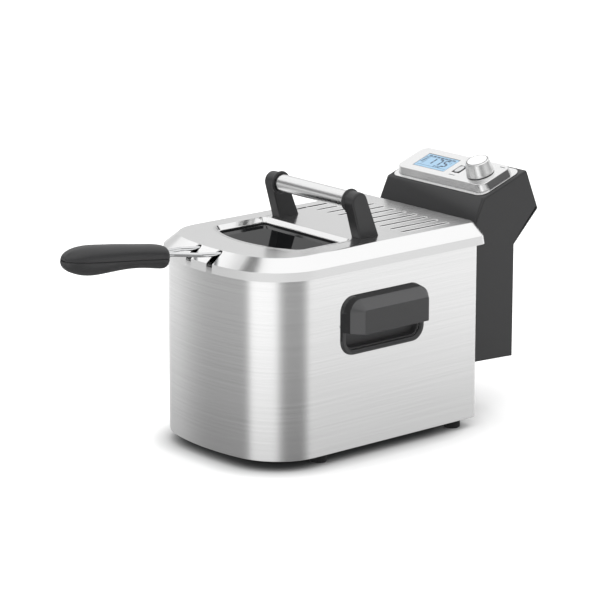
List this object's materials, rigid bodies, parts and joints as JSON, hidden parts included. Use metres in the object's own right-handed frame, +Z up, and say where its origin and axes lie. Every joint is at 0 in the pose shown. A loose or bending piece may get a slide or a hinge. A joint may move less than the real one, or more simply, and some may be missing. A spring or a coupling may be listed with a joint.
{
  "type": "deep fryer",
  "caption": "Electric deep fryer with a D-shaped steel housing, lift-out oil bowl, wire basket with handle, windowed lid and a lift-off control unit with display and dial.",
  "frame": {"origin": "centre of the footprint of the whole fryer, on the worktop under the feet", "axes": "+Z up, -Y towards the front where the basket handle points, +X to the right side as seen by someone standing behind the handle facing the fryer's rear"},
  "size_m": [0.27, 0.6147, 0.2968],
  "materials": {
    "black_rubber": "matte",
    "board_green": "solder mask",
    "bright_steel": "polished",
    "button_metal": "satin",
    "ceramic_white": "bisque",
    "dark_plastic": "fine texture",
    "element_metal": "dull",
    "filter_metal": "woven",
    "lcd_body": "backlit",
    "lcd_glass": "clear",
    "reset_red": "smooth",
    "seal_rubber": "silicone",
    "shield_aluminium": "plain",
    "smoked_glass": "clear",
    "steel_bowl": "satin",
    "steel_housing": "horizontal brush",
    "steel_lid": "satin",
    "steel_panel": "fine brush",
    "unit_plastic": "satin",
    "wire_steel": "bright wire",
    "zinc_plate": "zinc"
  },
  "bodies": {
    "housing": {"outer_housing": "steel_housing", "floor_plate": "zinc_plate", "foot_front_left": "black_rubber", "foot_front_right": "black_rubber", "foot_rear_left": "black_rubber", "foot_rear_right": "black_rubber", "foot_screws": "zinc_plate", "rim_collar": "dark_plastic", "heat_shield": "shield_aluminium", "side_handle_right": "dark_plastic", "side_handle_left": "dark_plastic", "side_cup_right": "dark_plastic", "side_cup_left": "dark_plastic", "side_handle_screws": "zinc_plate", "guide_rail_right": "dark_plastic", "guide_rail_left": "dark_plastic"},
    "bowl": {"oil_bowl": "steel_bowl"},
    "control_unit": {"control_case": "unit_plastic", "control_rear_cover": "unit_plastic", "cover_screws": "zinc_plate", "cord_gland": "black_rubber", "panel_trim": "bright_steel", "panel_island": "steel_panel", "lcd_lens": "lcd_glass", "lcd_module": "lcd_body", "display_board": "board_green", "dial_encoder": "dark_plastic", "thermal_cutout": "ceramic_white", "power_board": "board_green", "terminal_block": "ceramic_white", "safety_switch": "dark_plastic", "heating_element": "element_metal", "element_neck": "steel_bowl", "temperature_probe": "element_metal", "probe_clip": "zinc_plate"},
    "dial": {"knob_body": "steel_panel", "knob_cap": "bright_steel", "knob_core": "dark_plastic"},
    "menu_key": {"menu_button": "button_metal"},
    "reset_key": {"reset_button": "reset_red"},
    "basket": {"basket_mesh": "wire_steel", "basket_rim": "wire_steel", "basket_frame": "wire_steel", "basket_bracket": "wire_steel"},
    "basket_handle": {"handle_wires": "wire_steel", "grip_top": "dark_plastic", "grip_bottom": "dark_plastic", "grip_screw": "zinc_plate"},
    "lid": {"lid_shell": "steel_lid", "window_frame": "bright_steel", "window_seal": "seal_rubber", "window_glass": "smoked_glass", "glass_retainer": "zinc_plate", "lid_liner": "steel_bowl", "filter_mesh": "filter_metal", "filter_holder": "filter_metal", "handle_post_left": "dark_plastic", "handle_post_right": "dark_plastic", "handle_bar": "steel_panel", "lid_screws": "zinc_plate"}
  },
  "joints": [
    {"name": "bowl_lift", "type": "slide", "parent": "housing", "child": "bowl", "axis": [0, 0, 1], "range_m": [0, 0.2]},
    {"name": "control_unit_lift", "type": "slide", "parent": "bowl", "child": "control_unit", "axis": [0, 0, 1], "range_m": [0, 0.19]},
    {"name": "basket_lift", "type": "slide", "parent": "control_unit", "child": "basket", "axis": [0, 0, 1], "range_m": [0, 0.17]},
    {"name": "lid_lift", "type": "slide", "parent": "basket", "child": "lid", "axis": [0, 0, 1], "range_m": [0, 0.12]},
    {"name": "handle_pull", "type": "slide", "parent": "basket", "child": "basket_handle", "axis": [0, -0.9925, 0.1219], "range_m": [0, 0.06]},
    {"name": "dial_turn", "type": "hinge", "parent": "control_unit", "child": "dial", "pos_m": [0.0475, 0.24664, 0.2767], "axis": [0, -0.3289, 0.9444], "continuous": true},
    {"name": "menu_press", "type": "slide", "parent": "control_unit", "child": "menu_key", "axis": [0, 0.3289, -0.9444], "range_m": [0, 0.0008], "stiffness_N_per_m": 400},
    {"name": "reset_press", "type": "slide", "parent": "control_unit", "child": "reset_key", "axis": [0, -1, 0], "range_m": [0, 0.0015], "stiffness_N_per_m": 400}
  ]
}
